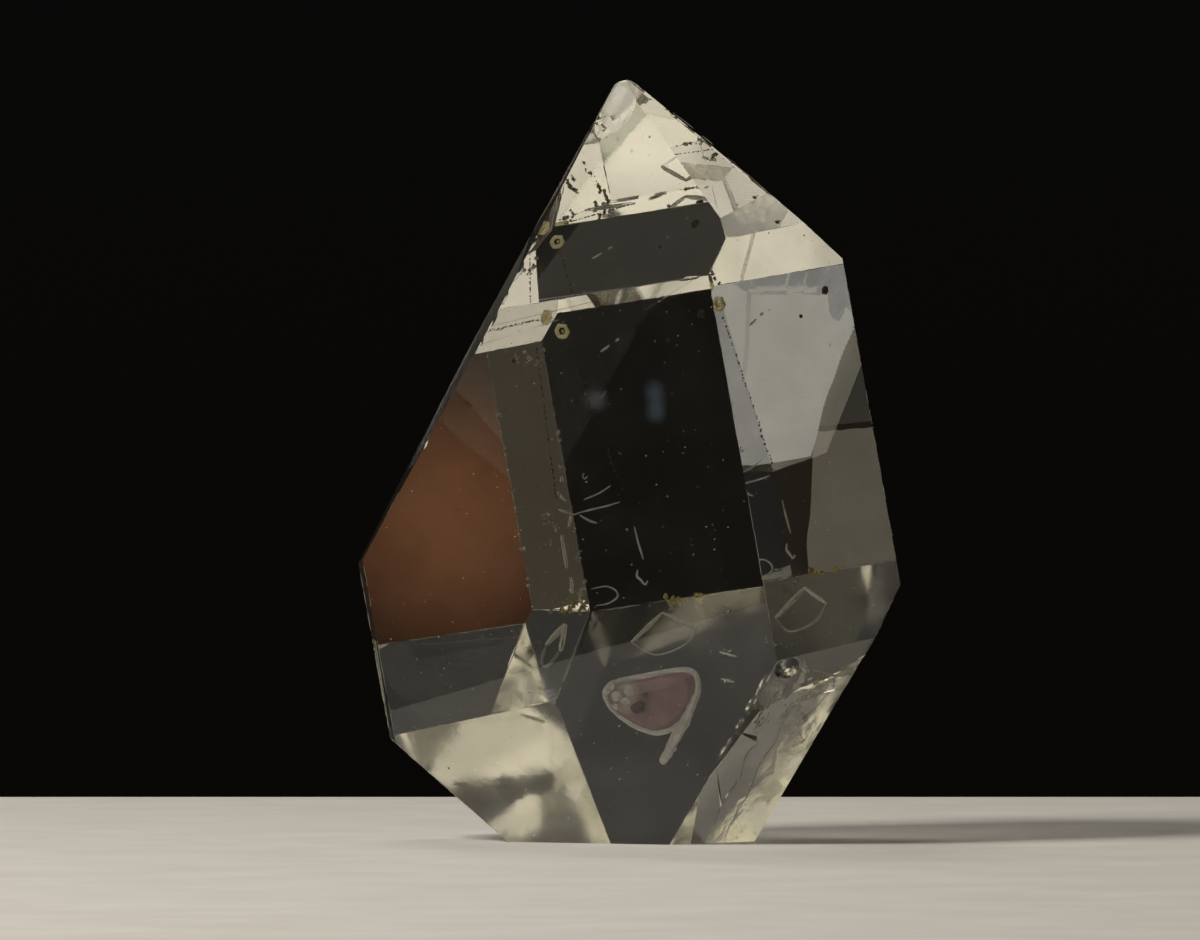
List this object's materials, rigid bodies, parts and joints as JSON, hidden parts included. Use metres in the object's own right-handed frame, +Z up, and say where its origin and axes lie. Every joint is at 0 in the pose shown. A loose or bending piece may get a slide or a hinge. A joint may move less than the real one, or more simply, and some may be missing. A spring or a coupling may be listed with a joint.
{
  "type": "herkimer diamond crystal",
  "caption": "Loose clear quartz crystal with flat prism faces and a point at each end, leaning a little, standing on a small flat scar.",
  "frame": {"origin": "on the ground, under the middle of the crystal's outline", "axes": "+Z up towards the upper point, +X to the right across the big front face, +Y to the back"},
  "size_m": [0.011, 0.0094, 0.0155],
  "materials": {
    "clear_quartz": "clear, glossy natural crystal faces",
    "iron_clay": "matt yellow-brown clay specks in the edges",
    "healed_threads": "pale threads, flakes and dust in and on the crystal",
    "sealed_bubble": "frosted walls round a brownish sealed fluid"
  },
  "bodies": {
    "root": {"herkimer_diamond": "clear_quartz"}
  },
  "joints": []
}
